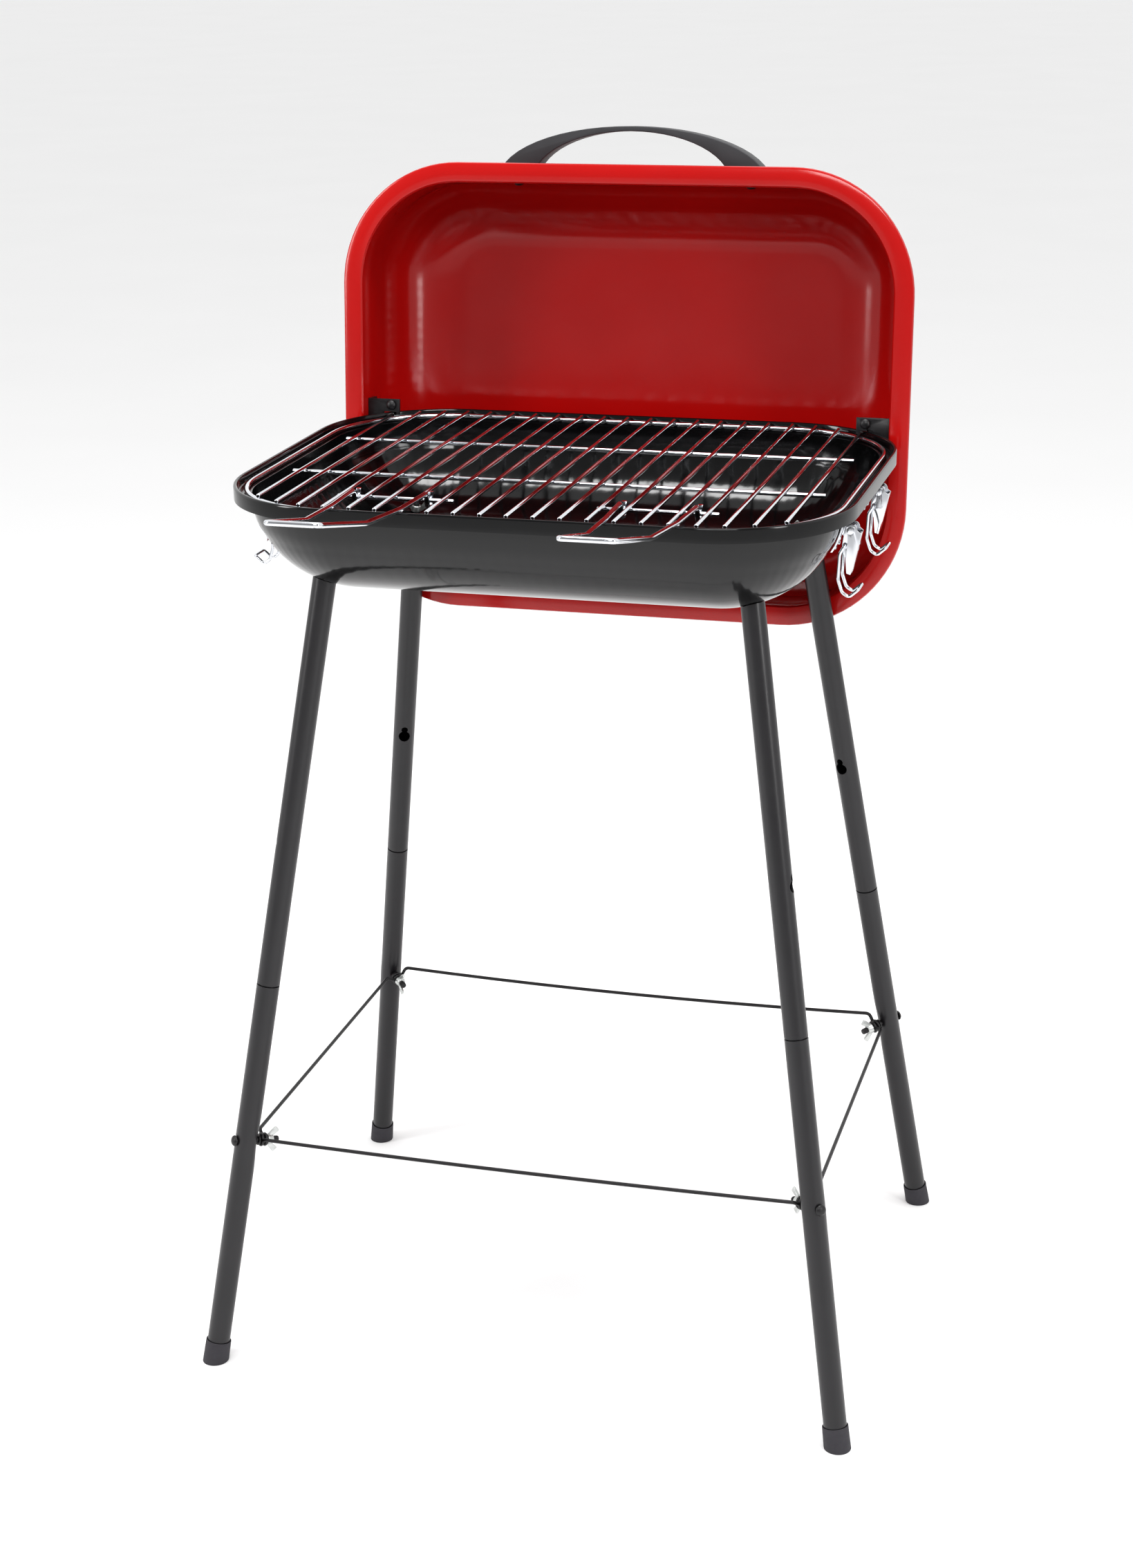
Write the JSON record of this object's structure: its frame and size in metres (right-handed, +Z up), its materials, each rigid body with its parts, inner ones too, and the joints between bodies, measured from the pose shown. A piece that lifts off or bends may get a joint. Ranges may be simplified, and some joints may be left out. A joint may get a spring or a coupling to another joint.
{
  "type": "portable charcoal grill",
  "caption": "Rectangular portable charcoal grill on splayed tube legs, its deep lid hung upright on the bowl's rear rim as a wind shield.",
  "frame": {"origin": "middle of the whole grill's bounding box at floor level", "axes": "+X to the right along the bowl's length, +Y to the back where the lid hangs, +Z up"},
  "size_m": [0.5298, 0.5806, 0.9381],
  "materials": {
    "bowl_enamel": "gloss black enamel on pressed steel",
    "lid_enamel": "gloss red enamel on pressed steel",
    "chrome": "bright chrome plate",
    "zinc": "bright zinc plate, cast",
    "leg_paint": "semi-gloss black paint on steel tube",
    "black_steel": "black coated steel",
    "handle_plastic": "matt heat-resistant plastic",
    "foot_plastic": "matt moulded plastic"
  },
  "bodies": {
    "stand": {"bowl": "bowl_enamel", "leg_upper_front_left": "leg_paint", "leg_lower_front_left": "leg_paint", "foot_cap_front_left": "foot_plastic", "leg_bolt_front_left": "black_steel", "stretcher_bolt_front_left": "black_steel", "stretcher_spacer_front_left": "black_steel", "latch_plate_front_left": "chrome", "leg_upper_front_right": "leg_paint", "leg_lower_front_right": "leg_paint", "foot_cap_front_right": "foot_plastic", "leg_bolt_front_right": "black_steel", "stretcher_bolt_front_right": "black_steel", "stretcher_spacer_front_right": "black_steel", "latch_plate_front_right": "chrome", "leg_upper_rear_left": "leg_paint", "leg_lower_rear_left": "leg_paint", "foot_cap_rear_left": "foot_plastic", "leg_bolt_rear_left": "black_steel", "stretcher_bolt_rear_left": "black_steel", "stretcher_spacer_rear_left": "black_steel", "latch_plate_rear_left": "chrome", "leg_upper_rear_right": "leg_paint", "leg_lower_rear_right": "leg_paint", "foot_cap_rear_right": "foot_plastic", "leg_bolt_rear_right": "black_steel", "stretcher_bolt_rear_right": "black_steel", "stretcher_spacer_rear_right": "black_steel", "latch_plate_rear_right": "chrome", "stretcher_front": "black_steel", "stretcher_rear": "black_steel", "stretcher_left": "black_steel", "stretcher_right": "black_steel"},
    "lid_set": {"lid": "lid_enamel", "lid_handle": "handle_plastic", "lid_handle_screw_left": "black_steel", "lid_hook_left": "black_steel", "lid_hook_screw_left": "black_steel", "lid_handle_screw_right": "black_steel", "lid_hook_right": "black_steel", "lid_hook_screw_right": "black_steel"},
    "grid": {"cooking_grid": "chrome"},
    "grip_left": {"grid_grip_left": "chrome"},
    "grip_right": {"grid_grip_right": "chrome"},
    "lever_front_left": {"latch_lever_front_left": "chrome"},
    "bail_front_left": {"latch_bail_front_left": "chrome"},
    "leg_nut_front_left": {"leg_wing_nut_front_left": "zinc"},
    "stretcher_nut_front_left": {"stretcher_wing_nut_front_left": "zinc"},
    "lever_front_right": {"latch_lever_front_right": "chrome"},
    "bail_front_right": {"latch_bail_front_right": "chrome"},
    "leg_nut_front_right": {"leg_wing_nut_front_right": "zinc"},
    "stretcher_nut_front_right": {"stretcher_wing_nut_front_right": "zinc"},
    "lever_rear_left": {"latch_lever_rear_left": "chrome"},
    "bail_rear_left": {"latch_bail_rear_left": "chrome"},
    "leg_nut_rear_left": {"leg_wing_nut_rear_left": "zinc"},
    "stretcher_nut_rear_left": {"stretcher_wing_nut_rear_left": "zinc"},
    "lever_rear_right": {"latch_lever_rear_right": "chrome"},
    "bail_rear_right": {"latch_bail_rear_right": "chrome"},
    "leg_nut_rear_right": {"leg_wing_nut_rear_right": "zinc"},
    "stretcher_nut_rear_right": {"stretcher_wing_nut_rear_right": "zinc"}
  },
  "joints": [
    {"name": "lid_lift_off", "type": "slide", "parent": "stand", "child": "lid_set", "axis": [0, 0.3846, 0.9231], "range_m": [0, 0.2]},
    {"name": "grid_lift_out", "type": "slide", "parent": "stand", "child": "grid", "axis": [0, 0, 1], "range_m": [0, 0.12]},
    {"name": "grip_left_fold", "type": "hinge", "parent": "grid", "child": "grip_left", "pos_m": [-0.101, -0.08931, 0.7021], "axis": [-1, 0, 0], "range_deg": [0, 150]},
    {"name": "grip_right_fold", "type": "hinge", "parent": "grid", "child": "grip_right", "pos_m": [0.101, -0.08931, 0.7021], "axis": [-1, 0, 0], "range_deg": [0, 150]},
    {"name": "latch_lever_front_left", "type": "hinge", "parent": "stand", "child": "lever_front_left", "pos_m": [-0.228, -0.02631, 0.681], "axis": [0, 1, 0], "range_deg": [0, 110]},
    {"name": "latch_bail_front_left", "type": "hinge", "parent": "lever_front_left", "child": "bail_front_left", "pos_m": [-0.2242, -0.02631, 0.67], "axis": [0, 1, 0], "range_deg": [0, 80]},
    {"name": "leg_wing_nut_front_left", "type": "hinge", "parent": "stand", "child": "leg_nut_front_left", "pos_m": [-0.16422, -0.07068, 0.63509], "axis": [0.1391, 0.1459, 0.9795], "continuous": true},
    {"name": "stretcher_wing_nut_front_left", "type": "hinge", "parent": "stand", "child": "stretcher_nut_front_left", "pos_m": [-0.21578, -0.12541, 0.18349], "axis": [0.6933, 0.6919, -0.2015], "continuous": true},
    {"name": "latch_lever_front_right", "type": "hinge", "parent": "stand", "child": "lever_front_right", "pos_m": [0.228, -0.02631, 0.681], "axis": [0, -1, 0], "range_deg": [0, 110]},
    {"name": "latch_bail_front_right", "type": "hinge", "parent": "lever_front_right", "child": "bail_front_right", "pos_m": [0.2242, -0.02631, 0.67], "axis": [0, -1, 0], "range_deg": [0, 80]},
    {"name": "leg_wing_nut_front_right", "type": "hinge", "parent": "stand", "child": "leg_nut_front_right", "pos_m": [0.16422, -0.07068, 0.63509], "axis": [-0.1391, 0.1459, 0.9795], "continuous": true},
    {"name": "stretcher_wing_nut_front_right", "type": "hinge", "parent": "stand", "child": "stretcher_nut_front_right", "pos_m": [0.21578, -0.12541, 0.18349], "axis": [-0.6933, 0.6919, -0.2015], "continuous": true},
    {"name": "latch_lever_rear_left", "type": "hinge", "parent": "stand", "child": "lever_rear_left", "pos_m": [-0.228, 0.09769, 0.681], "axis": [0, 1, 0], "range_deg": [0, 110]},
    {"name": "latch_bail_rear_left", "type": "hinge", "parent": "lever_rear_left", "child": "bail_rear_left", "pos_m": [-0.2242, 0.09769, 0.67], "axis": [0, 1, 0], "range_deg": [0, 80]},
    {"name": "leg_wing_nut_rear_left", "type": "hinge", "parent": "stand", "child": "leg_nut_rear_left", "pos_m": [-0.16422, 0.14206, 0.63509], "axis": [0.1391, -0.1459, 0.9795], "continuous": true},
    {"name": "stretcher_wing_nut_rear_left", "type": "hinge", "parent": "stand", "child": "stretcher_nut_rear_left", "pos_m": [-0.21578, 0.19679, 0.18349], "axis": [0.6933, -0.6919, -0.2015], "continuous": true},
    {"name": "latch_lever_rear_right", "type": "hinge", "parent": "stand", "child": "lever_rear_right", "pos_m": [0.228, 0.09769, 0.681], "axis": [0, -1, 0], "range_deg": [0, 110]},
    {"name": "latch_bail_rear_right", "type": "hinge", "parent": "lever_rear_right", "child": "bail_rear_right", "pos_m": [0.2242, 0.09769, 0.67], "axis": [0, -1, 0], "range_deg": [0, 80]},
    {"name": "leg_wing_nut_rear_right", "type": "hinge", "parent": "stand", "child": "leg_nut_rear_right", "pos_m": [0.16422, 0.14206, 0.63509], "axis": [-0.1391, -0.1459, 0.9795], "continuous": true},
    {"name": "stretcher_wing_nut_rear_right", "type": "hinge", "parent": "stand", "child": "stretcher_nut_rear_right", "pos_m": [0.21578, 0.19679, 0.18349], "axis": [-0.6933, -0.6919, -0.2015], "continuous": true}
  ]
}
